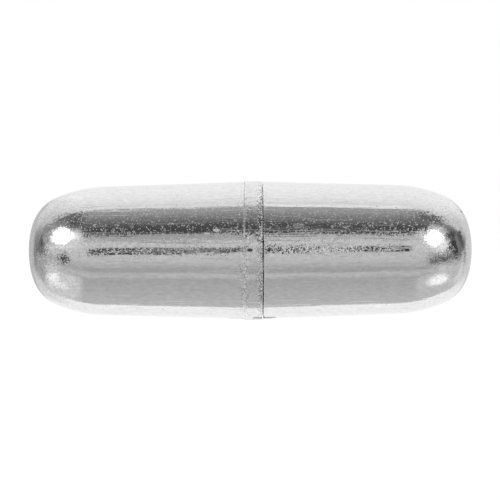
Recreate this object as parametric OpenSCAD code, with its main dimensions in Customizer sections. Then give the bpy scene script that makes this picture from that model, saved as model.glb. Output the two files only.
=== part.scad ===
// Magnetic stir bar: a capsule of two drawn shells, pushed from both sides onto the spigots of a joint ring,
// with a rod magnet held in the ring's bore and trapped between the shells' noses.
// Millimetres. The bar lies along X with its centre at the origin.

/* [Shells] */
// Length of the left shell, from its rim to the tip of its nose
left_shell_length = 19.5; // [14:0.5:30]
// Length of the right shell, from its rim to the tip of its nose
right_shell_length = 18.85; // [14:0.05:30]
// Diameter over a shell's rim
rim_diameter = 12.6; // [12:0.1:14]
// Draft on the flank of a drawn shell, in degrees
draft = 1.7; // [0.5:0.1:2.5]
// Wall of a drawn shell
wall = 0.4; // [0.2:0.05:0.6]

/* [Nose] */
// Radius of the crown, centred on the bar's axis
crown_radius = 9.7; // [8:0.1:11]
// Angle off the axis at which the crown runs into the shoulder
crown_angle = 16.75; // [12:0.25:19]
// Radius of the shoulder
shoulder_radius = 3.4; // [2.6:0.1:4]
// Angle off the axis at which the shoulder runs into the ogive
shoulder_angle = 66.25; // [58:0.25:71]

/* [Joint ring] */
// Width of the land between the two shells
land_width = 1.55; // [0.8:0.05:4]
// Height of the land above the shells' rims
land_height = 0.05; // [0:0.01:0.3]
// Round on the land's free edge, at the right shell's side
land_round = 0.1; // [0.02:0.01:0.2]
// Gap left between the land and the right shell's rim
rim_gap = 0.1; // [0:0.05:0.5]
// Depth that each spigot reaches into its shell
spigot_length = 3; // [1.5:0.1:6]
// Clearance between a spigot and the inside of its shell
spigot_clearance = 0.02; // [0.01:0.01:0.1]
// Wall of a spigot at its root, between the shell and the bore that holds the magnet
spigot_wall = 0.83; // [0.6:0.01:1.5]
// Lead-in chamfer at the end of a spigot and of the bore
lead_in = 0.2; // [0.1:0.05:0.4]

/* [Magnet] */
// Chamfer round the ends of the magnet
magnet_chamfer = 0.8; // [0.2:0.1:1.5]
// Clearance round the magnet in the ring's bore
bore_clearance = 0.05; // [0.02:0.01:0.1]
// Clearance between each end of the magnet and the nose that it seats in
end_clearance = 0.05; // [0.02:0.01:0.2]

/* [Hidden] */
$fn = 96;

steel = [0.78, 0.79, 0.80];
ring_steel = [0.70, 0.71, 0.72];
magnet_grey = [0.36, 0.36, 0.38];

rim_r = rim_diameter / 2;
land_r = rim_r + land_height;
inner_rim_r = rim_r - wall / cos(draft);
bore_r = inner_rim_r - spigot_clearance - spigot_wall;
magnet_r = bore_r - bore_clearance;
overall_length = left_shell_length + land_width + rim_gap + right_shell_length;

// Along the bar: the rims, and the two sides of the land
left_rim_x = left_shell_length - overall_length / 2;
land_end_x = left_rim_x + land_width;
right_rim_x = land_end_x + rim_gap;

taper = tan(draft);                 // radius lost per unit of length along the flank

// Angle that a cut runs on for past the end of its arc, and the extra radius that makes two tangent arcs cross
// cleanly
cut_overrun = 10;
arc_overlap = 0.0001;

// A shell is drawn as a profile of [radius, depth], with depth counted from the tip of the nose towards the rim.
// Its nose is three arcs, each tangent to the next and the last one tangent to the tapered flank. Angles are
// between a surface normal and the axis, so the flank has the angle 90 - draft all along.
flank_angle = 90 - draft;
crown_centre = [0, crown_radius];
shoulder_centre = crown_centre + (crown_radius - shoulder_radius) * outwards(crown_angle);
shoulder_end = shoulder_centre + shoulder_radius * outwards(shoulder_angle);

function outwards(angle) = [sin(angle), -cos(angle)];

// Radius of the flank, extended as a cone, at a depth in a shell of this length
function flank_r(length, depth) = rim_r - (length - depth) * taper;

// Radius of the ogive that leaves the shoulder and meets the flank without a break
function ogive_radius(length) =
    (flank_r(length, shoulder_end[1]) - shoulder_end[0])
    / (sin(flank_angle) - sin(shoulder_angle) - taper * (cos(shoulder_angle) - cos(flank_angle)));

function ogive_centre(length) = shoulder_end - ogive_radius(length) * outwards(shoulder_angle);

// Depth at which an arc, thinned by the wall, has this radius about the bar's axis
function arc_depth(centre, radius, r) = centre[1] - sqrt((radius - wall) ^ 2 - (r - centre[0]) ^ 2);

// Depth inside a shell at which its cavity has this radius about the bar's axis
function cavity_depth(length, r) =
    let (
        crown_edge = (crown_radius - wall) * sin(crown_angle),
        shoulder_edge = shoulder_centre[0] + (shoulder_radius - wall) * sin(shoulder_angle),
        ogive_edge = ogive_centre(length)[0] + (ogive_radius(length) - wall) * sin(flank_angle)
    )
    r < crown_edge ? arc_depth(crown_centre, crown_radius, r)
    : r < shoulder_edge ? arc_depth(shoulder_centre, shoulder_radius, r)
    : r < ogive_edge ? arc_depth(ogive_centre(length), ogive_radius(length), r)
    : length - (inner_rim_r - r) / taper;

// Depth of the magnet's end face when one of its two edges meets the cavity, less the clearance
function magnet_seat(length) =
    end_clearance + max(
        cavity_depth(length, magnet_r - magnet_chamfer),
        cavity_depth(length, magnet_r) - magnet_chamfer
    );

magnet_left_x = magnet_seat(left_shell_length) - overall_length / 2;
magnet_right_x = overall_length / 2 - magnet_seat(right_shell_length);

// What lies outside an arc, between two angles: cut from a section, it leaves the arc as the edge
module outside_arc(centre, radius, from, to) {
    reach = 4 * rim_r;
    difference() {
        polygon([centre, centre + reach * outwards(from), centre + reach * outwards(to)]);
        translate(centre) circle(r = radius);
    }
}

// Half of a shell's lengthwise section, filled in, with its nose and flank moved inwards by inset and its mouth
// carried on past the rim by overrun. A tapered blank that starts ahead of the tip is turned down to three arcs.
// The crown's cut and the ogive's run on outside the shoulder's, where they take nothing off the nose.
module half_section(length, inset, overrun) {
    ends = [-wall, length + overrun];
    side = inset / cos(draft);
    ogive_r = ogive_radius(length) - inset + arc_overlap;
    difference() {
        polygon([
            [0, ends[0]],
            [flank_r(length, ends[0]) - side, ends[0]],
            [flank_r(length, ends[1]) - side, ends[1]],
            [0, ends[1]]
        ]);
        outside_arc(crown_centre, crown_radius - inset, -cut_overrun, crown_angle + cut_overrun);
        outside_arc(shoulder_centre, shoulder_radius - inset + arc_overlap, crown_angle, shoulder_angle);
        outside_arc(ogive_centre(length), ogive_r, shoulder_angle - cut_overrun, flank_angle);
    }
}

// Drawn cup with an even wall, standing on its nose with the mouth up
module cup(length) {
    rotate_extrude()
        difference() {
            half_section(length, 0, 0);
            half_section(length, wall, wall);
        }
}

module left_shell() {
    color(steel)
        translate([-overall_length / 2, 0, 0])
            rotate([0, 90, 0]) cup(left_shell_length);
}

module right_shell() {
    color(steel)
        translate([overall_length / 2, 0, 0])
            rotate([0, -90, 0]) cup(right_shell_length);
}

// Outside radius of a spigot at a distance from its shell's rim, negative in the gap outside the rim
function spigot_r(distance) = inner_rim_r - spigot_clearance - distance * taper;

// The lead-ins take no more than two thirds of the wall at a spigot's end
end_lead = min(lead_in, (spigot_r(spigot_length) - bore_r) / 3);

// Turned ring of T section: a land between the rims, and a spigot to carry each shell
module joint_ring() {
    left_end = left_rim_x - spigot_length;
    right_end = right_rim_x + spigot_length;
    color(ring_steel)
        rotate([0, 90, 0])
            rotate_extrude()
                difference() {
                    polygon([
                        [bore_r, left_end + end_lead],
                        [bore_r + end_lead, left_end],
                        [spigot_r(spigot_length) - end_lead, left_end],
                        [spigot_r(spigot_length - end_lead), left_end + end_lead],
                        [spigot_r(0), left_rim_x],
                        [land_r, left_rim_x],
                        [land_r, land_end_x],
                        [spigot_r(-rim_gap), land_end_x],
                        [spigot_r(spigot_length - end_lead), right_end - end_lead],
                        [spigot_r(spigot_length) - end_lead, right_end],
                        [bore_r + end_lead, right_end],
                        [bore_r, right_end - end_lead]
                    ]);
                    outside_arc([land_r - land_round, land_end_x - land_round], land_round, 90, 180);
                }
}

// Rod magnet, chamfered at both ends
module bar_magnet() {
    color(magnet_grey)
        rotate([0, 90, 0])
            rotate_extrude()
                polygon([
                    [0, magnet_left_x],
                    [magnet_r - magnet_chamfer, magnet_left_x],
                    [magnet_r, magnet_left_x + magnet_chamfer],
                    [magnet_r, magnet_right_x - magnet_chamfer],
                    [magnet_r - magnet_chamfer, magnet_right_x],
                    [0, magnet_right_x]
                ]);
}

left_shell();
right_shell();
joint_ring();
bar_magnet();
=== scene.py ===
"""The looks of a magnetic stir bar: two drawn shells, the joint ring between them and the magnet inside."""

import math
import typing

import bpy
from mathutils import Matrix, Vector


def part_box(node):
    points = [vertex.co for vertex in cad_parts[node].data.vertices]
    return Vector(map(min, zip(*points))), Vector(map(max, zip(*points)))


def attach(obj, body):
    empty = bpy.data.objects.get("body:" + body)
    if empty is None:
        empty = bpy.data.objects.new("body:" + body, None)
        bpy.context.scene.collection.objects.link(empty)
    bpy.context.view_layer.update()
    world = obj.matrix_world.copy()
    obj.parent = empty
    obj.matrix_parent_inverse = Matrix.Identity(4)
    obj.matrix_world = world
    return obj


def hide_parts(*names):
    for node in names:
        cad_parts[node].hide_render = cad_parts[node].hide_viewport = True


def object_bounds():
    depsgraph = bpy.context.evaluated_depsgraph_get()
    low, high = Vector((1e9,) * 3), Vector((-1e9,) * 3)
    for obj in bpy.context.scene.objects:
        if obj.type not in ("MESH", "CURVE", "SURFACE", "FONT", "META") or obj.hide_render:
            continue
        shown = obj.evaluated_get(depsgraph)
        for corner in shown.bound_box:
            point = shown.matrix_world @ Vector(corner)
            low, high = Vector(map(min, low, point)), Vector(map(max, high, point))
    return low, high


bl_info = {
    "name": "Magnetic Stir Bar",
    "version": (1, 0, 0),
    "blender": (4, 5, 0),
    "location": "View3D > Sidebar > Stir Bar",
    "description": "Builds the shells, ring, magnet finish and studio of a magnetic stir bar",
    "category": "Object",
}

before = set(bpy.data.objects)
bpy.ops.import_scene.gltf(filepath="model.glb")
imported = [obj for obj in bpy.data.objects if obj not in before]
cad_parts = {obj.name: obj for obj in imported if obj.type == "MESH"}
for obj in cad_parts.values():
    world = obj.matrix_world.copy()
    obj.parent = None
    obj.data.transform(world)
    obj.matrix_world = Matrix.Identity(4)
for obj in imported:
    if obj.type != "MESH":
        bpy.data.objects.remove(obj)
CAD_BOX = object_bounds()

MM = 0.001
IMAGE_PX = 500

LEFT_LOW, LEFT_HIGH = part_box("left_shell")
RIGHT_LOW, RIGHT_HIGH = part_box("right_shell")
RING_LOW, RING_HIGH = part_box("joint_ring")

LEFT_TIP = LEFT_LOW[0]
LEFT_RIM = LEFT_HIGH[0]
RIGHT_TIP = RIGHT_HIGH[0]
RIGHT_RIM = RIGHT_LOW[0]
RIM_RADIUS = LEFT_HIGH[2]
LAND_RADIUS = RING_HIGH[2]


# ---------------------------------------------------------------- settings


class StirBarShape(bpy.types.PropertyGroup):
    """Sizes of the shells and the ring that the frame doesn't state by itself."""

    draft: bpy.props.FloatProperty(
        name="Draft",
        description="Taper on each side of a shell's flank",
        default=math.radians(1.7),
        subtype="ANGLE",
    )
    wall: bpy.props.FloatProperty(
        name="Wall",
        description="Thickness of a shell",
        default=0.4 * MM,
        unit="LENGTH",
    )
    crown_radius: bpy.props.FloatProperty(
        name="Crown radius",
        description="Radius of the nose's crown, centred on the axis",
        default=9.7 * MM,
        unit="LENGTH",
    )
    crown_angle: bpy.props.FloatProperty(
        name="Crown angle",
        description="Angle off the axis at which the crown runs into the shoulder",
        default=math.radians(16.75),
        subtype="ANGLE",
    )
    shoulder_radius: bpy.props.FloatProperty(
        name="Shoulder radius",
        description="Radius of the nose's shoulder",
        default=3.4 * MM,
        unit="LENGTH",
    )
    shoulder_angle: bpy.props.FloatProperty(
        name="Shoulder angle",
        description="Angle off the axis at which the shoulder runs into the ogive",
        default=math.radians(66.25),
        subtype="ANGLE",
    )
    rim_round: bpy.props.FloatProperty(
        name="Rim round",
        description="Round on the outer edge of a shell's rim",
        default=0.025 * MM,
        unit="LENGTH",
    )
    land_width: bpy.props.FloatProperty(
        name="Land width",
        description="Width of the ring's land between the shells",
        default=1.55 * MM,
        unit="LENGTH",
    )
    land_round: bpy.props.FloatProperty(
        name="Land round",
        description="Round on the land's free edge",
        default=0.1 * MM,
        unit="LENGTH",
    )
    turns: bpy.props.IntProperty(
        name="Turns",
        description="Steps round the bar's axis",
        default=320,
        min=64,
        max=512,
    )


class StirBarFinish(bpy.types.PropertyGroup):
    """Colours and surface of the metals."""

    steel: bpy.props.FloatVectorProperty(
        name="Steel",
        description="Colour of the polished shells",
        default=(0.82, 0.82, 0.82),
        subtype="COLOR",
        size=3,
    )
    ring_steel: bpy.props.FloatVectorProperty(
        name="Ring steel",
        description="Colour of the joint ring",
        default=(0.80, 0.80, 0.80),
        subtype="COLOR",
        size=3,
    )
    magnet: bpy.props.FloatVectorProperty(
        name="Magnet",
        description="Colour of the magnet's alloy",
        default=(0.16, 0.16, 0.17),
        subtype="COLOR",
        size=3,
    )
    polish: bpy.props.FloatProperty(
        name="Polish",
        description="Roughness of the polished steel",
        default=0.07,
        min=0.0,
        max=1.0,
    )
    facet_size: bpy.props.FloatProperty(
        name="Facet size",
        description="Size of the fine facets left by drawing and tumbling",
        default=0.10 * MM,
        precision=5,
        unit="LENGTH",
    )
    peel: bpy.props.FloatProperty(
        name="Peel",
        description="Steepest lean of the fine facets",
        default=math.radians(1.3),
        subtype="ANGLE",
    )
    ripple: bpy.props.FloatProperty(
        name="Ripple",
        description="Lean of the ripples between the facets",
        default=math.radians(0.6),
        subtype="ANGLE",
    )
    nose_peel: bpy.props.FloatProperty(
        name="Peel on the noses",
        description="How strong the facets are on the noses, where the metal stretched most",
        default=0.7,
        min=0.0,
    )
    left_wear: bpy.props.FloatProperty(
        name="Wear on the left nose",
        description="How much further apart the facets' tones are on the left nose than on the right one",
        default=0.22,
        min=0.0,
    )
    nose_haze: bpy.props.FloatProperty(
        name="Haze on the noses",
        description="Roughness that the noses have over that of the flanks",
        default=0.02,
        min=0.0,
    )
    draw_lines: bpy.props.FloatProperty(
        name="Draw lines",
        description="Lean of the fine lines that run along the bar",
        default=math.radians(0.5),
        subtype="ANGLE",
    )
    folds: bpy.props.FloatProperty(
        name="Folds",
        description="Usual lean of the fine folds that drawing leaves in the noses",
        default=math.radians(0.3),
        subtype="ANGLE",
    )
    swell: bpy.props.FloatProperty(
        name="Swell",
        description="Lean of the long, shallow waves in the polish",
        default=math.radians(0.35),
        subtype="ANGLE",
    )


class StirBarStage(bpy.types.PropertyGroup):
    """Camera, floor and studio."""

    camera_distance: bpy.props.FloatProperty(
        name="Camera distance",
        description="Distance from the camera to the bar's axis",
        default=70.0 * MM,
        unit="LENGTH",
    )
    focal_px: bpy.props.FloatProperty(
        name="Focal length",
        description="Focal length in pixels of a picture that is 500 wide",
        default=760.0,
    )
    roll: bpy.props.FloatProperty(
        name="Roll",
        description="Tilt of the picture about the line of sight",
        default=math.radians(0.3),
        subtype="ANGLE",
    )
    floor_tone: bpy.props.FloatProperty(
        name="Floor tone",
        description="How pale the floor is",
        default=0.9,
        min=0.0,
        max=1.0,
    )
    shadow: bpy.props.FloatProperty(
        name="Shadow",
        description="Share of the floor's brightness that the bar can shade",
        default=0.16,
        min=0.0,
        max=1.0,
    )


# ---------------------------------------------------------------- shader maths


class Value:
    """A socket that carries one number, and the sums that it enters."""

    def __init__(self, graph, socket):
        self.graph = graph
        self.socket = socket

    def math(self, operation, *others):
        values = {index + 1: other for index, other in enumerate(others)}
        node = self.graph.add("ShaderNodeMath", {"operation": operation}, {0: self, **values})
        return Value(self.graph, node.outputs[0])

    def __add__(self, other):
        return self.math("ADD", other)

    __radd__ = __add__

    def __mul__(self, other):
        return self.math("MULTIPLY", other)

    __rmul__ = __mul__

    def __sub__(self, other):
        return self.math("SUBTRACT", other)

    def __rsub__(self, other):
        return (self * -1.0) + other

    def __truediv__(self, other):
        return self.math("DIVIDE", other)

    def __pow__(self, other):
        return self.math("POWER", other)

    def __abs__(self):
        return self.math("ABSOLUTE")


class Graph:
    """The nodes of one material or world."""

    def __init__(self, owner):
        owner.use_nodes = True
        self.tree = owner.node_tree
        self.tree.nodes.clear()

    def add(self, kind, settings=None, sockets=None):
        """One node, with its settings made first and then its sockets set or linked."""
        node = self.tree.nodes.new(kind)
        for name, setting in (settings or {}).items():
            setattr(node, name, setting)
        for name, given in (sockets or {}).items():
            self.feed(node.inputs[name], given)
        return node

    def feed(self, socket, given):
        """Links a value, node or socket to a socket, or sets the socket to a plain number or colour."""
        if isinstance(given, Value):
            self.tree.links.new(given.socket, socket)
        elif isinstance(given, bpy.types.Node):
            self.tree.links.new(given.outputs[0], socket)
        elif isinstance(given, bpy.types.NodeSocket):
            self.tree.links.new(given, socket)
        else:
            socket.default_value = given

    def value(self, node, output=0):
        return Value(self, node.outputs[output])

    def axes(self, vector):
        """The three parts of a vector."""
        parts = self.add("ShaderNodeSeparateXYZ", sockets={0: vector})
        return [self.value(parts, index) for index in range(3)]

    def between(self, value, low, high):
        """0 at low and 1 at high, eased at both ends."""
        node = self.add(
            "ShaderNodeMapRange",
            {"interpolation_type": "SMOOTHSTEP"},
            {"Value": value, "From Min": low, "From Max": high},
        )
        return self.value(node)

    def band(self, value, limits):
        """1 inside a band and 0 outside it. Its limits are where it starts, where it is full from and to,
        and where it ends."""
        start, full_from, full_to, end = limits
        return self.between(value, start, full_from) * self.between(value, end, full_to)

    def blend(self, factor, low, high):
        """From the value low to the value high as the factor goes from 0 to 1."""
        node = self.add("ShaderNodeMix", {"data_type": "FLOAT"}, {0: factor, 2: low, 3: high})
        return self.value(node)

    def vector(self, operation, *vectors, **sockets):
        """Vector maths on vectors, or on nodes whose first output is one."""
        given = {**dict(enumerate(vectors)), **sockets}
        return self.add("ShaderNodeVectorMath", {"operation": operation}, given).outputs[0]

    def noise(self, vector, scale, detail=2.0, roughness=0.5):
        node = self.add(
            "ShaderNodeTexNoise",
            {"noise_dimensions": "3D"},
            {"Vector": vector, "Scale": scale, "Detail": detail, "Roughness": roughness},
        )
        return self.value(node)


def grey(tone):
    return (tone, tone, tone, 1.0)


# Noise of scale 1 leans by about this much for a height that runs from 0 to 1.
NOISE_STEEPNESS = 0.6

# How fine each pattern in the steel is, in noise cells per metre.
RIPPLE_SCALE = 4000.0
LINE_SCALE = 5200.0
WAVE_SCALE = 260.0
FOLD_SCALE = 2800.0
PATCH_SCALE = 450.0
SMEAR_SCALE = 1400.0
SPECK_SCALE = 8500.0
MOTTLE_SCALE = 2200.0
BRUSH_SCALE = 5500.0
DULL_SCALE = 700.0

# The share of a pattern's fineness that is left along the bar, where it is drawn out.
LINE_STRETCH = 0.03
FOLD_STRETCH = 0.3
BRUSH_STRETCH = 0.35

# The noise at which each pattern starts to show, and from which it is there in full.
PATCH_EDGE = (0.40, 0.62)
SMEAR_EDGE = (0.40, 0.56)
STREAK_CREST = (0.62, 0.70)
SPECK_EDGE = (0.60, 0.72)
DULL_EDGE = (0.55, 0.75)

# Where the noses start along the bar, and from where they are in full.
NOSE_START = 13.0 * MM
NOSE_FULL = 17.0 * MM

# How far from the axis the folds of the noses start, and from where they are in full.
FOLD_START = 1.2 * MM
FOLD_FULL = 4.5 * MM

# Heights of the bands that are pitted more: along the front of the flanks, and above and below the middle
# of the noses.
FRONT_BAND = (-0.9 * MM, -0.3 * MM, 3.0 * MM, 3.9 * MM)
BROW_BAND = (1.9 * MM, 2.5 * MM, 3.6 * MM, 4.4 * MM)
CHEEK_BAND = (-1.7 * MM, -1.2 * MM, 0.0, 0.5 * MM)

# How pitted the steel is, where 1 lets the facets lean by the full peel: in plain places, and what each
# zone adds to it.
PLAIN_PITTING = 0.35
FRONT_PITTING = 0.15
PATCH_PITTING = 1.1
BROW_PITTING = 1.5
CHEEK_PITTING = 1.1
SEAM_PITTING = 1.8

# How far scuffs and edges worn by rubbing, with their painted highlight, reach from a seam, and the heights
# between which its painted shade changes.
SCUFF_REACH = 0.85 * MM
SCUFF_FULL = 0.1 * MM
RUB_HIGHLIGHT_REACH = 0.16 * MM
RUB_HIGHLIGHT_FULL = 0.05 * MM
SEAM_SHADE_FOOT = (-5.3 * MM, -4.6 * MM)
SEAM_SHADE_TOP = (2.0 * MM, 4.0 * MM)
SEAM_SHADE_EDGE = 0.03 * MM

# What each kind of wear does to the steel's tone and to its roughness; the seams' painted shade darkens the
# tone and the painted highlight on edges worn by rubbing brightens it.
DULL_DARK = 0.03
DULL_ROUGH = 0.03
SEAM_SHADE_DARK = 0.9
SEAM_SHADE_ROUGH = 0.5
# How much the painted highlight on edges worn by rubbing brightens the steel.
RUBBED_EDGE_HIGHLIGHT = 0.2
RUB_ROUGH = 0.3
PIT_ROUGH = 0.5

# How far the mottle and the brushing vary the tone.
MOTTLE_DEPTH = 0.08
BRUSH_DEPTH = 0.34

# How far noise moves the edge of a mark, in shares of its half size.
MARK_RAGGED = 1.6

# A seam's radius where its painted shade lies at any distance from the axis.
EVERYWHERE = 2 * RIM_RADIUS

# Where wear on the side that faces the camera starts, forward of the axis, and where it is in full.
FACING_SIDE = (0.0, -MM)
MARK_SIDE = (0.0, -0.2 * MM)


class Seam(typing.NamedTuple):
    """A joint between pieces: where it is along the bar, how far its painted shade reaches to each side, the
    radius under which that shade lies, its share on the upper and on the lower side, how scuffed the metal
    beside it is, and how far rubbing has worn its edge, which a painted highlight brightens."""

    x: float
    reach: float
    radius: float
    upper: float
    lower: float
    scuffed: float
    rubbed_and_highlit: float


class Mark(typing.NamedTuple):
    """A dent, scuff or stain in the side that faces the camera, and on the ring a dark painted reflection
    there: its place and half size along the bar and up, how far its face leans down in degrees, how rough it
    is, and how much darker."""

    x: float
    z: float
    half_length: float
    half_height: float
    lean: float = 0.0
    rough: float = 0.0
    dark: float = 0.0


class Scratch(typing.NamedTuple):
    """A fine scratch in the side that faces the camera: its two ends along the bar and up, its half width
    and its depth."""

    start: tuple
    end: tuple
    half_width: float
    depth: float


class Zones(typing.NamedTuple):
    """Where the steel is worn in its own way, each from 0 to 1: on the noses, along the front of the flanks,
    and on the brow and the cheek of the noses."""

    nose: Value
    front: Value
    brow: Value
    cheek: Value


class Wear(typing.NamedTuple):
    """What the seams do to the steel around them, each from 0 up: scuffs, edges worn by rubbing with a
    painted highlight, and painted shade in the seams.
    """

    scuffed: Value
    rubbed_and_highlit: Value
    seam_shade: Value


class Spot:
    """The place that is shaded: its vector, its three parts, its distance from the axis, and its direction
    round the axis as a place on a plain cylinder."""

    def __init__(self, graph):
        self.vector = graph.add("ShaderNodeTexCoord").outputs["Object"]
        self.along, self.front, self.up = graph.axes(self.vector)
        self.radius = (self.front * self.front + self.up * self.up).math("SQRT")
        self.around = (self.front / self.radius * RIM_RADIUS, self.up / self.radius * RIM_RADIUS)


def lean(graph, height, scale, angle, below=None):
    """A bump whose typical lean is this angle, for noise of this scale whose height runs from 0 to 1."""
    sockets = {"Distance": math.tan(angle) / (NOISE_STEEPNESS * scale), "Height": height}
    if below is not None:
        sockets["Normal"] = below
    return graph.add("ShaderNodeBump", sockets=sockets)


def drawn_out(graph, spot, stretch, scale, roughness):
    """Noise that is drawn out along the bar and is the same at every distance from its axis."""
    sockets = {0: stretch * spot.along, 1: spot.around[0], 2: spot.around[1]}
    return graph.noise(graph.add("ShaderNodeCombineXYZ", sockets=sockets), scale, 1.0, roughness)


def scratch_height(graph, spot, scratches):
    """Height of the surface over its scratches, in metres."""
    height = 0.0
    for scratch in scratches:
        run = (scratch.end[0] - scratch.start[0], scratch.end[1] - scratch.start[1])
        length = math.hypot(*run)
        run = (run[0] / length, run[1] / length)
        offset = (spot.along - scratch.start[0], spot.up - scratch.start[1])
        past = offset[0] * run[0] + offset[1] * run[1]
        aside = abs(offset[0] * run[1] - offset[1] * run[0])
        ends = graph.band(past, (0.0, 0.2 * length, 0.8 * length, length))
        height = height - scratch.depth * ends * graph.between(aside, scratch.half_width, 0.0)
    return height * graph.between(spot.front, *FACING_SIDE)


def mark_masks(graph, spot, marks, smears):
    """1 inside each mark and 0 outside it, with a ragged edge."""
    masks = []
    for mark in marks:
        aside = (spot.along - mark.x) / mark.half_length
        above = (spot.up - mark.z) / mark.half_height
        ragged = aside ** 2.0 + above ** 2.0 + MARK_RAGGED * (smears - 0.5)
        masks.append(graph.between(ragged, 1.0, 0.5) * graph.between(spot.front, *MARK_SIDE))
    return masks


def find_zones(graph, spot):
    """The zones of wear at this spot."""
    nose = graph.between(abs(spot.along), NOSE_START, NOSE_FULL)
    front = graph.band(spot.up, FRONT_BAND) * graph.between(spot.front, *FACING_SIDE) * (1.0 - nose)
    return Zones(nose, front, nose * graph.band(spot.up, BROW_BAND), nose * graph.band(spot.up, CHEEK_BAND))


def seam_wear(graph, spot, seams, patches, smears):
    """What all seams together do to the steel at this spot."""
    scuffed = 0.0
    rubbed_and_highlit = 0.0
    seam_shade = 0.0
    for seam in seams:
        away = abs(spot.along - seam.x)
        scuffs = graph.between(away, SCUFF_REACH, SCUFF_FULL) * (0.6 + 0.7 * patches)
        scuffed = seam.scuffed * scuffs + scuffed
        # Edges worn by rubbing: rougher, and brightened as a painted highlight of the rounded rims catching
        # the light.
        rubbed_and_highlit = seam.rubbed_and_highlit * graph.between(away, RUB_HIGHLIGHT_REACH, RUB_HIGHLIGHT_FULL) + rubbed_and_highlit
        # Painted shade in the seam: patchy, darker inside its reach and under its radius, and going from its
        # lower to its upper share with height.
        share = seam.lower * graph.between(spot.up, *SEAM_SHADE_FOOT)
        share = share + (seam.upper - share) * graph.between(spot.up, *SEAM_SHADE_TOP)
        share = share * (0.2 + 0.8 * graph.between(smears, *SMEAR_EDGE))
        inside = graph.between(away, seam.reach, 0.7 * seam.reach)
        seam_shade = share * inside * graph.between(spot.radius, seam.radius, seam.radius - SEAM_SHADE_EDGE) + seam_shade
    return Wear(scuffed, rubbed_and_highlit, seam_shade)


def steel_pitting(finish, zones, wear, patches):
    """How strongly the steel is pitted at this spot."""
    pitting = PLAIN_PITTING + (FRONT_PITTING + PATCH_PITTING * patches) * zones.front
    pitting = pitting + (finish.nose_peel - PLAIN_PITTING) * zones.nose + BROW_PITTING * zones.brow
    return pitting + SEAM_PITTING * wear.scuffed + CHEEK_PITTING * zones.cheek


def steel_relief(graph, spot, finish, zones, pitting, scratches):
    """The normal of the steel over its waves, lines, folds and ripples, and over its scratches."""
    waves = lean(graph, graph.noise(spot.vector, WAVE_SCALE, 1.0, 0.4), WAVE_SCALE, finish.swell)
    streaks = drawn_out(graph, spot, LINE_STRETCH, LINE_SCALE, 0.6)
    lines = (streaks + 1.5 * graph.between(streaks, *STREAK_CREST)) * (1.0 - 0.85 * zones.nose)
    line_bump = lean(graph, lines, LINE_SCALE, finish.draw_lines, below=waves)
    folds = drawn_out(graph, spot, FOLD_STRETCH, FOLD_SCALE, 0.5)
    folds = folds * zones.nose * graph.between(spot.radius, FOLD_START, FOLD_FULL)
    fold_bump = lean(graph, folds, FOLD_SCALE, finish.folds, below=line_bump)
    ripples = graph.noise(spot.vector, RIPPLE_SCALE, 1.0, 0.5) * pitting
    relief = lean(graph, ripples, RIPPLE_SCALE, finish.ripple, below=fold_bump)
    if scratches:
        height = scratch_height(graph, spot, scratches)
        relief = graph.add("ShaderNodeBump", sockets={"Distance": 1.0, "Height": height, "Normal": relief})
    return relief


def uneven(noise, depth):
    """A factor round 1 that noise varies by this depth."""
    return (1.0 + 0.5 * depth) - depth * noise


def steel_tone(graph, spot, finish, zones, wear, grain):
    """Brightness of the steel against its plain colour: specks, mottle, brushing, grain, and at the seams
    painted shade and the painted highlight of edges worn by rubbing.
    """
    specks = graph.between(graph.noise(spot.vector, SPECK_SCALE, 1.0), *SPECK_EDGE)
    mottle = graph.noise(spot.vector, MOTTLE_SCALE, 2.0, 0.6)
    brush_sockets = {"Vector": spot.vector, "Scale": (BRUSH_STRETCH, 1.0, 1.0)}
    brushing = graph.noise(graph.add("ShaderNodeMapping", sockets=brush_sockets), BRUSH_SCALE, 1.0, 0.5)
    worn = finish.left_wear * graph.between(spot.along, -NOSE_START, -NOSE_FULL)
    spread = 0.02 + 0.15 * zones.front + 0.10 * zones.nose + worn + 0.8 * wear.scuffed
    tone = 1.0 - specks * (0.05 + 0.25 * zones.nose + 0.5 * wear.scuffed)
    tone = tone * uneven(mottle, MOTTLE_DEPTH) * uneven(brushing, BRUSH_DEPTH)
    tone = tone * (1.0 - spread * (grain - 0.5))
    # Edges worn by rubbing are brightened as a painted highlight, and the seams are darkened as painted
    # shade.
    return tone * (1.0 + RUBBED_EDGE_HIGHLIGHT * wear.rubbed_and_highlit) * (1.0 - SEAM_SHADE_DARK * wear.seam_shade)


def metal(graph, colour, tone, rough, normal):
    """Bare metal of this colour times this tone, as the material's surface."""
    tones = graph.add("ShaderNodeCombineColor", sockets={0: tone, 1: tone, 2: tone})
    shade = graph.add(
        "ShaderNodeMix",
        {"data_type": "RGBA", "blend_type": "MULTIPLY"},
        {0: 1.0, 6: (*colour, 1.0), 7: tones},
    )
    bare = graph.add(
        "ShaderNodeBsdfPrincipled",
        sockets={"Base Color": shade.outputs[2], "Metallic": 1.0, "Roughness": rough, "Normal": normal},
    )
    graph.add("ShaderNodeOutputMaterial", sockets={"Surface": bare})


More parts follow.
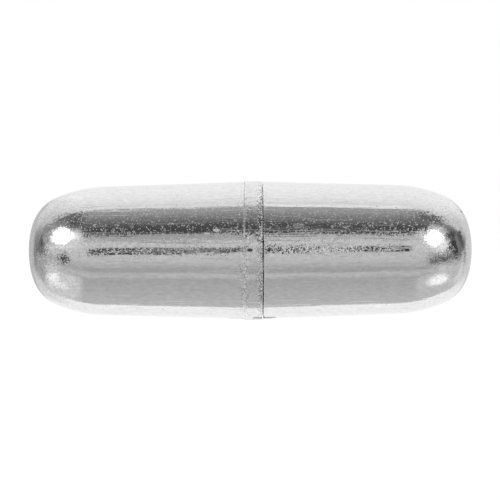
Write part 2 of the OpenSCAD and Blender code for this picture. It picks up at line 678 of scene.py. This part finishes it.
def polished_steel(name, colour, finish, seams, marks, scratches):
    """Polished, plated steel: fine facets, pits, ripples, lines along the bar, folds in the noses and long
    waves, with scuffs, painted shade and edges worn by rubbing with a painted highlight at the seams, and
    the piece's own marks and scratches; the ring's dark mark is a painted reflection."""
    material = bpy.data.materials.new(name)
    graph = Graph(material)
    spot = Spot(graph)
    patches = graph.between(graph.noise(spot.vector, PATCH_SCALE, 1.0), *PATCH_EDGE)
    smears = graph.noise(spot.vector, SMEAR_SCALE, 2.0, 0.6)
    dull = graph.between(graph.noise(spot.vector, DULL_SCALE, 3.0, 0.6), *DULL_EDGE)
    zones = find_zones(graph, spot)
    wear = seam_wear(graph, spot, seams, patches, smears)
    pitting = steel_pitting(finish, zones, wear, patches)

    facet_sockets = {"Vector": spot.vector, "Scale": 1.0 / finish.facet_size}
    facets = graph.add("ShaderNodeTexVoronoi", sockets=facet_sockets).outputs["Color"]
    tilt = graph.vector("SUBTRACT", facets, (0.5, 0.5, 0.5))
    tilt = graph.vector("SCALE", tilt, Scale=2.0 * math.tan(finish.peel) * pitting)
    surface = graph.vector("ADD", steel_relief(graph, spot, finish, zones, pitting, scratches), tilt)

    chance, grain, _ = graph.axes(facets)
    least_chance = 0.98 - (0.24 + 0.06 * patches) * zones.front - 0.25 * wear.scuffed
    pits = graph.between(chance, least_chance - 0.1 * (zones.brow + zones.cheek), 1.0)
    tone = steel_tone(graph, spot, finish, zones, wear, grain) * (1.0 - DULL_DARK * dull)
    rough = finish.polish + finish.nose_haze * zones.nose + DULL_ROUGH * dull
    rough = rough + SEAM_SHADE_ROUGH * wear.seam_shade + PIT_ROUGH * pits + RUB_ROUGH * wear.rubbed_and_highlit
    # Marks darken, roughen and lean the steel; the ring's dark mark is a painted reflection.
    for mark, mask in zip(marks, mark_masks(graph, spot, marks, smears)):
        tone = tone * (1.0 - mark.dark * mask)
        rough = rough + mark.rough * mask
        if mark.lean:
            face = (0.0, 0.0, -math.tan(math.radians(mark.lean)))
            surface = graph.vector("ADD", surface, graph.vector("SCALE", face, Scale=mask))
    metal(graph, colour, tone, rough, graph.vector("NORMALIZE", surface))
    return material


# How fine the marks of grinding on the magnet are, and how deep.
GRIND_SCALE = 1500.0
GRIND_DEPTH = 0.004 * MM


def magnet_alloy(finish):
    """Ground, grey cast magnet alloy with a fine mottle."""
    material = bpy.data.materials.new("magnet_alloy")
    graph = Graph(material)
    place = graph.add("ShaderNodeTexCoord").outputs["Object"]
    mottle = graph.noise(place, GRIND_SCALE, 3.0, 0.6)
    grind = graph.add(
        "ShaderNodeBump",
        sockets={"Strength": 0.6, "Distance": GRIND_DEPTH, "Height": mottle},
    )
    metal(graph, finish.magnet, 0.8 + 0.4 * mottle, 0.4 + 0.15 * mottle, grind)
    return material


# ---------------------------------------------------------------- modelling


# How finely a section is cut: steps of its arcs, and cuts of its straight parts.
CROWN_STEPS = 14
SHOULDER_STEPS = 40
OGIVE_STEPS = 26
FLANK_CUTS = 24
RIM_STEPS = 6
RIM_CUTS = 2
LAND_CUTS = 6
LAND_STEPS = 8

# A cut this close to a rounded edge keeps the shading of the straight part before it even.
EDGE_CUT = 0.04 * MM
MERGE_DISTANCE = 0.0005 * MM

# Edges that turn by more than this stay sharp.
SHARP_ANGLE = math.radians(35.0)

# The ring's fit inside a shell's mouth, and its wall round the magnet at the rims.
SPIGOT_CLEARANCE = 0.02 * MM
SPIGOT_WALL = 0.83 * MM


def start_edge(name, radius, x):
    """A new mesh in edit mode that is one vertex at this place on the bar's lengthwise section."""
    bpy.ops.object.select_all(action="DESELECT")
    bpy.ops.mesh.primitive_plane_add(size=MM, location=(0.0, 0.0, 0.0))
    piece = bpy.context.object
    piece.name = name
    piece.data.name = name
    bpy.ops.object.mode_set(mode="EDIT")
    bpy.ops.mesh.select_mode(type="VERT")
    bpy.ops.mesh.select_all(action="SELECT")
    bpy.ops.mesh.merge(type="CENTER")
    bpy.ops.transform.translate(value=(x, 0.0, radius))
    return piece


def draw_to(point, start, cuts=1):
    """Carries the edge on straight from start to a point, each (radius, x), and returns the point."""
    step = Vector(((point[1] - start[1]) / cuts, 0.0, (point[0] - start[0]) / cuts))
    for _ in range(cuts):
        bpy.ops.mesh.extrude_region_move(TRANSFORM_OT_translate={"value": step})
    return point


def draw_arc(centre, angle, steps):
    """Carries the edge on round a centre, (radius, x). A positive angle turns from +X towards +Z."""
    bpy.ops.mesh.spin(
        steps=steps,
        angle=angle,
        center=(centre[1], 0.0, centre[0]),
        axis=(0.0, 1.0, 0.0),
        dupli=False,
    )


def turn_about_axis(piece, turns):
    """Spins the section once round the bar's axis and closes the seam and the poles."""
    bpy.ops.mesh.select_all(action="SELECT")
    bpy.ops.mesh.spin(
        steps=turns,
        angle=math.tau,
        center=(0.0, 0.0, 0.0),
        axis=(1.0, 0.0, 0.0),
        dupli=False,
    )
    bpy.ops.mesh.select_all(action="SELECT")
    bpy.ops.mesh.remove_doubles(threshold=MERGE_DISTANCE)
    bpy.ops.mesh.normals_make_consistent(inside=False)
    bpy.ops.mesh.select_all(action="DESELECT")
    bpy.ops.object.mode_set(mode="OBJECT")
    bpy.ops.object.shade_smooth_by_angle(angle=SHARP_ANGLE)


class Nose:
    """The three tangent arcs of a drawn shell of this length, as (radius, depth from the tip)."""

    def __init__(self, shape, length):
        self.length = length
        self.draft = shape.draft
        self.taper = math.tan(shape.draft)
        self.crown_angle = shape.crown_angle
        self.shoulder_angle = shape.shoulder_angle
        self.flank_angle = math.pi / 2 - shape.draft
        self.crown = (0.0, shape.crown_radius)
        apart = shape.crown_radius - shape.shoulder_radius
        self.shoulder = self.beyond(self.crown, apart, shape.crown_angle)
        end = self.beyond(self.shoulder, shape.shoulder_radius, shape.shoulder_angle)
        flank_there = RIM_RADIUS - (length - end[1]) * self.taper
        turn = math.sin(self.flank_angle) - math.sin(shape.shoulder_angle)
        drop = math.cos(shape.shoulder_angle) - math.cos(self.flank_angle)
        self.ogive_radius = (flank_there - end[0]) / (turn - self.taper * drop)
        self.ogive = self.beyond(end, -self.ogive_radius, shape.shoulder_angle)

    @staticmethod
    def beyond(point, distance, angle):
        """The point at this distance along the outward normal of this angle off the axis."""
        return (point[0] + distance * math.sin(angle), point[1] - distance * math.cos(angle))

    def flank(self, depth, inset=0.0):
        """The place on the tapered flank at a depth, moved in by the inset."""
        radius = RIM_RADIUS - (self.length - depth) * self.taper - inset / math.cos(self.draft)
        return (radius, depth)


def drawn_shell(name, shape, tip_x, rim_x):
    """A cup with an even wall, drawn as one edge from the tip's outside round the rim to its inside."""
    length = abs(rim_x - tip_x)
    inwards = 1.0 if rim_x > tip_x else -1.0
    nose = Nose(shape, length)

    def at(point):
        """A (radius, depth) as a (radius, x)."""
        return (point[0], tip_x + inwards * point[1])

    def arc(centre, low, high, steps):
        draw_arc(at(centre), -inwards * (high - low), steps)

    edge_depth = length - shape.rim_round
    edge_centre = nose.flank(edge_depth, shape.rim_round)
    piece = start_edge(name, 0.0, tip_x)
    arc(nose.crown, 0.0, nose.crown_angle, CROWN_STEPS)
    arc(nose.shoulder, nose.crown_angle, nose.shoulder_angle, SHOULDER_STEPS)
    arc(nose.ogive, nose.shoulder_angle, nose.flank_angle, OGIVE_STEPS)
    here = at(nose.beyond(nose.ogive, nose.ogive_radius, nose.flank_angle))
    here = draw_to(at(nose.flank(edge_depth - EDGE_CUT)), here, FLANK_CUTS)
    draw_to(at(nose.flank(edge_depth)), here)
    arc(edge_centre, nose.flank_angle, math.pi, RIM_STEPS)
    here = at(nose.beyond(edge_centre, shape.rim_round, math.pi))
    here = draw_to(at(nose.flank(length, shape.wall)), here, RIM_CUTS)
    inner_end = nose.beyond(nose.ogive, nose.ogive_radius - shape.wall, nose.flank_angle)
    draw_to(at(inner_end), here, FLANK_CUTS // 2)
    arc(nose.ogive, nose.flank_angle, nose.shoulder_angle, OGIVE_STEPS // 2)
    arc(nose.shoulder, nose.shoulder_angle, nose.crown_angle, SHOULDER_STEPS // 2)
    arc(nose.crown, nose.crown_angle, 0.0, CROWN_STEPS // 2)
    turn_about_axis(piece, shape.turns)
    return piece


def turned_ring(name, shape, land_end):
    """A land between the rims and a tapered spigot to each side, drawn as one edge from bore to bore."""
    taper = math.tan(shape.draft)
    root = RIM_RADIUS - shape.wall / math.cos(shape.draft) - SPIGOT_CLEARANCE
    bore = root - SPIGOT_WALL
    low_end = root - taper * (LEFT_RIM - RING_LOW[0])
    high_end = root - taper * (RING_HIGH[0] - RIGHT_RIM)
    rim_round = shape.rim_round
    land_round = shape.land_round
    here = (bore, RING_LOW[0])
    piece = start_edge(name, *here)
    here = draw_to((low_end, RING_LOW[0]), here)
    here = draw_to((root, LEFT_RIM), here)
    draw_to((LAND_RADIUS - rim_round, LEFT_RIM), here)
    draw_arc((LAND_RADIUS - rim_round, LEFT_RIM + rim_round), -math.pi / 2, RIM_STEPS)
    here = (LAND_RADIUS, LEFT_RIM + rim_round)
    here = draw_to((LAND_RADIUS, LEFT_RIM + rim_round + EDGE_CUT), here)
    here = draw_to((LAND_RADIUS, land_end - land_round - EDGE_CUT), here, LAND_CUTS)
    draw_to((LAND_RADIUS, land_end - land_round), here)
    draw_arc((LAND_RADIUS - land_round, land_end - land_round), -math.pi / 2, LAND_STEPS)
    here = (LAND_RADIUS - land_round, land_end)
    here = draw_to((root, land_end), here)
    here = draw_to((high_end, RING_HIGH[0]), here)
    here = draw_to((bore, RING_HIGH[0]), here)
    draw_to((bore, RING_LOW[0]), here)
    turn_about_axis(piece, shape.turns)
    return piece


def finish_piece(piece, material, node):
    """Gives a piece its material, and lets it stand for its node in the frame."""
    piece.data.materials.clear()
    piece.data.materials.append(material)
    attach(piece, "root")
    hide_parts(node)


SHELL_MARKS = (
    Mark(-2.83 * MM, 1.72 * MM, 0.34 * MM, 0.16 * MM, lean=8.0, rough=0.10),
    Mark(-3.67 * MM, 1.45 * MM, 0.30 * MM, 0.10 * MM, lean=5.0, rough=0.10),
    Mark(4.05 * MM, 2.05 * MM, 0.60 * MM, 0.30 * MM, rough=0.28),
    Mark(18.76 * MM, 3.34 * MM, 0.16 * MM, 0.10 * MM, rough=0.2, dark=0.7),
)
SHELL_SCRATCHES = (
    Scratch((10.3 * MM, -3.45 * MM), (13.2 * MM, -2.60 * MM), half_width=0.12 * MM, depth=0.0015 * MM),
    Scratch((4.6 * MM, 5.30 * MM), (5.6 * MM, 5.45 * MM), half_width=0.06 * MM, depth=0.0020 * MM),
)
# A dark spot painted in the middle of the ring's land: a painted reflection of the camera's lens.
RING_PAINTED_REFLECTION = (
    Mark(-0.02 * MM, 0.02 * MM, 0.26 * MM, 0.16 * MM, dark=0.85),
)


# ---------------------------------------------------------------- operators


class STIRBAR_OT_shells(bpy.types.Operator):
    """Adds the two drawn shells"""

    bl_idname = "stirbar.shells"
    bl_label = "Drawn shells"

    def execute(self, context):
        shape = context.scene.stir_bar_shape
        finish = context.scene.stir_bar_finish
        seams = (
            Seam(LEFT_RIM, 0.030 * MM, EVERYWHERE, upper=0.95, lower=0.0, scuffed=0.6, rubbed_and_highlit=0.8),
            Seam(RIGHT_RIM, 0.012 * MM, EVERYWHERE, upper=0.0, lower=0.35, scuffed=0.2, rubbed_and_highlit=0.3),
        )
        steel = polished_steel("shell_steel", finish.steel, finish, seams, SHELL_MARKS, SHELL_SCRATCHES)
        left = drawn_shell("left_shell_cup", shape, LEFT_TIP, LEFT_RIM)
        finish_piece(left, steel, "left_shell")
        right = drawn_shell("right_shell_cup", shape, RIGHT_TIP, RIGHT_RIM)
        finish_piece(right, steel, "right_shell")
        return {"FINISHED"}


class STIRBAR_OT_ring(bpy.types.Operator):
    """Adds the joint ring between the shells"""

    bl_idname = "stirbar.ring"
    bl_label = "Joint ring"

    def execute(self, context):
        shape = context.scene.stir_bar_shape
        finish = context.scene.stir_bar_finish
        land_end = LEFT_RIM + shape.land_width
        gap_middle = 0.5 * (land_end + RIGHT_RIM)
        gap_reach = 0.6 * (RIGHT_RIM - land_end)
        below_rim = RIM_RADIUS - 0.05 * MM
        seams = (
            Seam(LEFT_RIM, 0.025 * MM, EVERYWHERE, upper=0.95, lower=0.0, scuffed=0.8, rubbed_and_highlit=0.8),
            Seam(gap_middle, gap_reach, below_rim, upper=0.0, lower=0.5, scuffed=1.6, rubbed_and_highlit=1.2),
        )
        steel = polished_steel("ring_steel", finish.ring_steel, finish, seams, RING_PAINTED_REFLECTION, ())
        ring = turned_ring("joint_ring_collar", shape, land_end)
        finish_piece(ring, steel, "joint_ring")
        return {"FINISHED"}


class STIRBAR_OT_magnet(bpy.types.Operator):
    """Gives the magnet its finish"""

    bl_idname = "stirbar.magnet"
    bl_label = "Magnet finish"

    def execute(self, context):
        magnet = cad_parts["bar_magnet"]
        alloy = magnet_alloy(context.scene.stir_bar_finish)
        for slot in magnet.material_slots:
            slot.material = alloy
        return {"FINISHED"}


# The studio as the bar sees it, turned about the bar's axis: 0 faces the camera, 90 is overhead, 180 is
# behind and -90 is underneath. Each band is its name, where it starts and ends in degrees, and its
# brightness there.
BANDS = (
    ("backdrop under", -180.0, -135.0, 1.05, 1.00),
    ("backdrop's foot", -120.0, -109.5, 1.02, 1.06),
    ("table", -108.0, -49.0, 0.56, 0.43),
    ("light along the table's edge", -46.0, -41.0, 0.52, 0.58),
    ("front of the table", -36.0, -30.0, 0.40, 0.43),
    ("lower wall", -22.0, -15.0, 0.54, 0.60),
    ("middle of the wall", -8.0, 14.0, 0.61, 0.64),
    ("wall under the shelf", 20.0, 24.0, 0.53, 0.47),
    ("dark shelf", 28.5, 43.0, 0.060, 0.080),
    ("upper wall", 46.0, 76.3, 0.13, 0.41),
    ("ceiling's edge", 77.6, 81.0, 0.80, 0.84),
    ("ceiling", 84.0, 100.0, 0.80, 0.94),
    ("backdrop above", 125.0, 180.0, 1.0, 0.93),
)

# How much of the ceiling's and the backdrop's brightness is left towards the studio's ends: degrees across
# and share.
ENDS = (
    (-90.0, 0.2), (-72.0, 0.33), (-63.0, 0.5), (-55.0, 0.72), (-46.0, 0.74), (-36.0, 0.81), (-24.0, 1.0),
    (36.0, 1.0), (45.0, 0.92), (54.0, 0.76), (64.0, 0.69), (72.0, 0.55), (80.0, 0.25), (90.0, 0.2),
)

# The front of the studio runs up from the backdrop's foot to the ceiling's edge: its middle, and its half
# height to where those shares start and to where they apply in full.
FRONT_MIDDLE = -15.5
FRONT_HALF = 92.0
FRONT_HALF_EASED = 94.0

# What stands in the studio, each over those before it: its name, its middle and half size across and up in
# degrees, the softness of its edge, its brightness, and how square it is (2 is an ellipse). The shares of
# the ends apply over the table's sides and under all the rest.
TABLE_SIDES = (
    ("left side of the table", -60.0, -77.5, 35.0, 32.0, 0.09, 0.70, 7.0),
    ("right side of the table", 62.0, -80.0, 40.0, 30.0, 0.07, 0.59, 8.0),
)
PANELS = (
    ("left end of the backdrop, above", -47.5, 180.0, 25.5, 36.0, 0.20, 0.57, 4.0),
    ("left end of the backdrop, below", -47.5, -180.0, 25.5, 24.0, 0.20, 0.57, 4.0),
    ("right end of the backdrop, above", 52.0, 180.0, 30.0, 26.0, 0.20, 0.70, 4.0),
    ("right end of the backdrop, below", 52.0, -180.0, 30.0, 24.0, 0.20, 0.70, 4.0),
    ("right end of the table", 66.0, -98.0, 20.0, 16.0, 0.35, 0.74, 3.0),
    ("left end of the table", -80.0, -72.0, 28.0, 42.0, 0.20, 0.42, 5.0),
    ("front of the left side", -40.0, -40.0, 18.0, 6.0, 0.40, 0.55, 3.0),
    ("right wall", 76.0, 9.0, 24.0, 38.0, 0.10, 0.23, 8.0),
    ("right far wall", 84.0, 12.0, 18.0, 56.0, 0.12, 0.20, 6.0),
    ("right far corner", 80.0, 62.0, 18.0, 24.0, 0.1, 0.11, 6.0),
    ("left upper wall", -57.0, 63.0, 13.0, 12.0, 0.20, 0.31, 4.0),
    ("left flag", -81.0, 22.0, 20.5, 44.0, 0.10, 0.19, 6.0),
    ("dark part of the left flag", -68.0, 33.0, 5.0, 13.0, 0.4, 0.11, 2.0),
    ("edge of the left flag", -62.5, 9.0, 2.5, 10.0, 0.5, 0.14, 2.0),
    ("right ceiling corner", 54.0, 76.0, 11.0, 12.5, 0.14, 0.66, 5.0),
    ("shade over the left softbox", -28.5, 64.0, 6.8, 14.0, 0.3, 0.10, 3.0),
    ("shade left of it", -37.0, 73.0, 6.0, 8.0, 0.35, 0.16, 3.0),
    ("shade over the right softbox", 33.0, 62.5, 11.5, 10.5, 0.3, 0.14, 3.0),
    ("glow beside the right softbox", 47.0, 15.0, 8.0, 19.0, 0.5, 0.70, 2.0),
    ("right flag, low", 62.0, -6.0, 3.8, 17.0, 0.2, 0.02, 3.0),
    ("right flag, middle", 59.0, 16.0, 3.8, 12.0, 0.2, 0.04, 3.0),
    ("right flag, high", 55.0, 38.0, 4.0, 13.0, 0.3, 0.07, 3.0),
    ("box beside the left tripod", -50.0, -15.0, 10.0, 9.0, 0.4, 0.47, 2.5),
    ("left tripod", -41.3, -16.0, 4.6, 9.5, 0.3, 0.03, 2.0),
    ("pole of the left tripod", -41.0, 0.0, 1.5, 9.0, 0.4, 0.38, 2.0),
    ("box beside the right tripod", 47.0, -15.0, 13.0, 8.0, 0.4, 0.34, 2.5),
    ("right tripod", 40.0, -23.0, 7.0, 4.2, 0.4, 0.13, 2.0),
    ("arm of the right tripod", 50.0, -20.0, 6.0, 3.2, 0.4, 0.08, 2.0),
    ("end of the right tripod's arm", 58.0, -16.5, 5.0, 3.2, 0.4, 0.09, 2.0),
    ("lens, left", -11.5, -0.6, 7.8, 5.4, 0.12, 0.06, 5.0),
    ("glint in the lens, left", -8.9, -0.6, 2.6, 4.8, 0.5, 0.27, 2.0),
    ("lens, right of the middle", 4.5, 0.8, 2.1, 5.6, 0.2, 0.02, 3.0),
    ("lens between them", 8.9, 0.3, 2.3, 5.6, 0.3, 0.76, 3.0),
    ("lens, right", 13.9, 1.0, 3.2, 5.4, 0.12, 0.04, 4.0),
    ("dusty part of the shelf", 7.5, 35.5, 4.5, 2.5, 0.5, 0.13, 3.0),
    ("edge of the ceiling, right", 11.0, 79.0, 8.0, 2.0, 0.4, 0.95, 4.0),
    ("foot of the shelf, left", -10.0, 23.0, 6.5, 5.5, 0.4, 0.40, 4.0),
    ("left bounce, top", -52.0, -43.0, 5.0, 18.0, 0.5, 0.72, 2.0),
    ("left bounce", -47.5, -67.0, 4.6, 12.0, 0.5, 1.15, 2.0),
    ("left bounce, foot", -41.5, -80.0, 6.5, 10.0, 0.5, 0.95, 2.0),
    ("right bounce, edge", 48.0, -48.0, 10.0, 11.0, 0.4, 0.64, 2.5),
    ("right bounce", 39.5, -69.0, 8.0, 12.0, 0.45, 1.14, 2.0),
    ("glow beside the left softbox", -29.0, 27.0, 6.0, 15.0, 0.4, 0.68, 2.0),
    ("glow under the left softbox", -42.0, 11.0, 16.0, 8.5, 0.5, 0.72, 2.0),
    ("glow over the left softbox", -47.0, 50.0, 7.0, 5.5, 0.5, 0.60, 2.0),
    ("glow beyond the left softbox", -56.0, 37.0, 7.0, 14.0, 0.4, 0.38, 2.0),
    ("tail of the left softbox", -32.5, 27.0, 4.5, 6.0, 0.5, 1.1, 2.0),
    ("left softbox", -43.0, 33.0, 9.0, 16.8, 0.3, 2.6, 2.1),
    ("glow before the right softbox", 28.0, 27.0, 5.5, 9.0, 0.5, 0.68, 2.0),
    ("glow over the right softbox", 42.5, 45.0, 8.0, 7.0, 0.5, 0.60, 2.0),
    ("glow under the right softbox", 45.0, 4.0, 6.5, 11.0, 0.5, 0.84, 2.0),
    ("tail of the right softbox", 49.5, 12.0, 2.4, 12.0, 0.4, 1.0, 2.0),
    ("right softbox", 39.0, 25.0, 7.2, 15.5, 0.3, 2.6, 2.1),
)


def ramp(graph, place, start, end, stops):
    """A tone for each place from start to end, from stops of place and tone, straight between them."""
    node = graph.add("ShaderNodeValToRGB", sockets={0: (place - start) / (end - start)})
    elements = node.color_ramp.elements
    for element, (where, tone) in zip((elements[0], elements[1]), (stops[0], stops[-1])):
        element.position = (where - start) / (end - start)
        element.color = grey(tone)
    for where, tone in stops[1:-1]:
        elements.new((where - start) / (end - start)).color = grey(tone)
    return graph.value(node)


def panel_mask(graph, across, up_angle, centre, half, softness, squareness):
    """1 inside a rounded panel and 0 outside it."""
    side = (abs(across - centre[0]) / half[0]) ** squareness
    rise = (abs(up_angle - centre[1]) / half[1]) ** squareness
    reach = (side + rise) ** (1.0 / squareness)
    return 1.0 - graph.between(reach, 1.0 - softness, 1.0 + softness)


def lay_panels(graph, light, across, up_angle, panels):
    """The light with these panels over it."""
    for _, middle, height, half_wide, half_high, softness, tone, squareness in panels:
        half = (half_wide, half_high)
        mask = panel_mask(graph, across, up_angle, (middle, height), half, softness, squareness)
        light = graph.blend(mask, light, tone)
    return light


def studio_light(graph, across, up_angle):
    """Brightness of the studio in a direction, in degrees across and up round the bar's axis."""
    stops = []
    for _, low, high, low_tone, high_tone in BANDS:
        stops += [(low, low_tone), (high, high_tone)]
    light = ramp(graph, up_angle, -180.0, 180.0, stops)
    light = lay_panels(graph, light, across, up_angle, TABLE_SIDES)
    outside = graph.between(abs(up_angle - FRONT_MIDDLE), FRONT_HALF, FRONT_HALF_EASED)
    share = ramp(graph, across, -90.0, 90.0, ENDS)
    light = light * (1.0 - outside * (1.0 - share))
    return lay_panels(graph, light, across, up_angle, PANELS)


def build_studio(world):
    """White behind the bar to the camera, and a studio of bands and panels to everything else."""
    graph = Graph(world)
    direction = graph.add("ShaderNodeTexCoord").outputs["Generated"]
    x, y, z = graph.axes(direction)
    across = x.math("ARCSINE") * math.degrees(1.0)
    up_angle = z.math("ARCTAN2", y * -1.0) * math.degrees(1.0)
    light = studio_light(graph, across, up_angle)
    studio = graph.add("ShaderNodeBackground", sockets={"Color": grey(1.0), "Strength": light})
    white = graph.add("ShaderNodeBackground", sockets={"Color": grey(1.0), "Strength": 1.0})
    path = graph.add("ShaderNodeLightPath")
    seen = graph.add(
        "ShaderNodeMixShader",
        sockets={0: path.outputs["Is Camera Ray"], 1: studio, 2: white},
    )
    graph.add("ShaderNodeOutputWorld", sockets={"Surface": seen})


# The shadow where the bar touches the floor, as its reflection shows it: each part's middle and half length
# along the bar, its front and back edge across the bar, and how dark it is.
CONTACT = (
    ("all along the joint", 0.05 * MM, 2.6 * MM, -0.95 * MM, -0.45 * MM, 0.35),
    ("under the ring", 0.75 * MM, 0.7 * MM, -1.62 * MM, -1.15 * MM, 0.80),
    ("under the right rim", 1.65 * MM, 0.8 * MM, -1.25 * MM, -0.85 * MM, 0.80),
)
CONTACT_EASE = 0.1 * MM

# To the camera the floor glows just over white, less this share of the brightness that the bar can shade.
FLOOR_WHITE = 1.06
FLOOR_LIT = 0.7
FLOOR_SIZE = 4.0


def contact_shadow(graph, along, front):
    """How dark the floor is where the bar touches it, from 0 to 1."""
    dark = 0.0
    for _, middle, half, near, far, share in CONTACT:
        edges = (near - CONTACT_EASE, near + CONTACT_EASE, far - CONTACT_EASE, far + CONTACT_EASE)
        part = graph.between(abs(along - middle), half, 0.6 * half) * graph.band(front, edges)
        dark = share * part + dark
    return dark


def floor_material(stage):
    """Pale floor that the camera sees as white but for the bar's shadow. Reflections look through it but for
    the place where the bar touches it."""
    material = bpy.data.materials.new("floor")
    graph = Graph(material)
    place = graph.add("ShaderNodeTexCoord").outputs["Object"]
    along, front, _ = graph.axes(place)
    shaded = graph.add("ShaderNodeBsdfDiffuse", sockets={"Color": grey(stage.shadow)})
    white = FLOOR_WHITE - FLOOR_LIT * stage.shadow
    glow = graph.add("ShaderNodeEmission", sockets={"Color": grey(1.0), "Strength": white})
    pale = graph.add("ShaderNodeAddShader", sockets={0: shaded, 1: glow})
    plain = graph.add("ShaderNodeBsdfDiffuse", sockets={"Color": grey(stage.floor_tone)})
    clear = graph.add("ShaderNodeBsdfTransparent")
    path = graph.add("ShaderNodeLightPath")
    through = graph.value(path, "Is Glossy Ray") * (1.0 - contact_shadow(graph, along, front))
    unseen = graph.add("ShaderNodeMixShader", sockets={0: through, 1: plain, 2: clear})
    surface = graph.add(
        "ShaderNodeMixShader",
        sockets={0: path.outputs["Is Camera Ray"], 1: unseen, 2: pale},
    )
    graph.add("ShaderNodeOutputMaterial", sockets={"Surface": surface})
    return material


# The camera looks level from in front of the bar's middle, moved by this much.
CAMERA_ASIDE = -0.02 * MM
CAMERA_RISE = 0.03 * MM
SENSOR_WIDTH = 36.0


class STIRBAR_OT_stage(bpy.types.Operator):
    """Adds the floor, the studio and the camera"""

    bl_idname = "stirbar.stage"
    bl_label = "Studio"

    def execute(self, context):
        scene = context.scene
        stage = scene.stir_bar_stage
        bpy.ops.object.select_all(action="DESELECT")
        bpy.ops.mesh.primitive_plane_add(size=FLOOR_SIZE, location=(0.0, 0.0, CAD_BOX[0][2]))
        floor = context.object
        floor.name = "floor"
        floor.data.materials.append(floor_material(stage))

        world = bpy.data.worlds.new("studio")
        scene.world = world
        build_studio(world)

        bpy.ops.object.camera_add(
            location=(CAMERA_ASIDE, -stage.camera_distance, CAMERA_RISE),
            rotation=(math.pi / 2, stage.roll, 0.0),
        )
        camera = context.object
        camera.data.sensor_width = SENSOR_WIDTH
        camera.data.lens = SENSOR_WIDTH * stage.focal_px / IMAGE_PX
        camera.data.clip_start = MM
        scene.camera = camera
        scene.view_settings.view_transform = "Standard"
        return {"FINISHED"}


class STIRBAR_PT_build(bpy.types.Panel):
    """Lists what builds the stir bar"""

    bl_idname = "STIRBAR_PT_build"
    bl_label = "Stir Bar"
    bl_space_type = "VIEW_3D"
    bl_region_type = "UI"
    bl_category = "Stir Bar"

    def draw(self, context):
        layout = self.layout
        for operator in OPERATORS:
            layout.operator(operator.bl_idname)
        for group in GROUPS:
            settings = getattr(context.scene, group)
            box = layout.box()
            for name in settings.bl_rna.properties.keys():
                if name not in {"rna_type", "name"}:
                    box.prop(settings, name)


OPERATORS = (STIRBAR_OT_stage, STIRBAR_OT_shells, STIRBAR_OT_ring, STIRBAR_OT_magnet)
GROUPS = {
    "stir_bar_shape": StirBarShape,
    "stir_bar_finish": StirBarFinish,
    "stir_bar_stage": StirBarStage,
}


def register():
    for group in GROUPS.values():
        bpy.utils.register_class(group)
    for name, group in GROUPS.items():
        setattr(bpy.types.Scene, name, bpy.props.PointerProperty(type=group))
    for operator in OPERATORS:
        bpy.utils.register_class(operator)
    bpy.utils.register_class(STIRBAR_PT_build)


def unregister():
    bpy.utils.unregister_class(STIRBAR_PT_build)
    for operator in reversed(OPERATORS):
        bpy.utils.unregister_class(operator)
    for name in GROUPS:
        delattr(bpy.types.Scene, name)
    for group in reversed(GROUPS.values()):
        bpy.utils.unregister_class(group)


def main():
    register()
    bpy.ops.stirbar.stage()
    bpy.ops.stirbar.shells()
    bpy.ops.stirbar.ring()
    bpy.ops.stirbar.magnet()


if __name__ == "__main__":
    main()
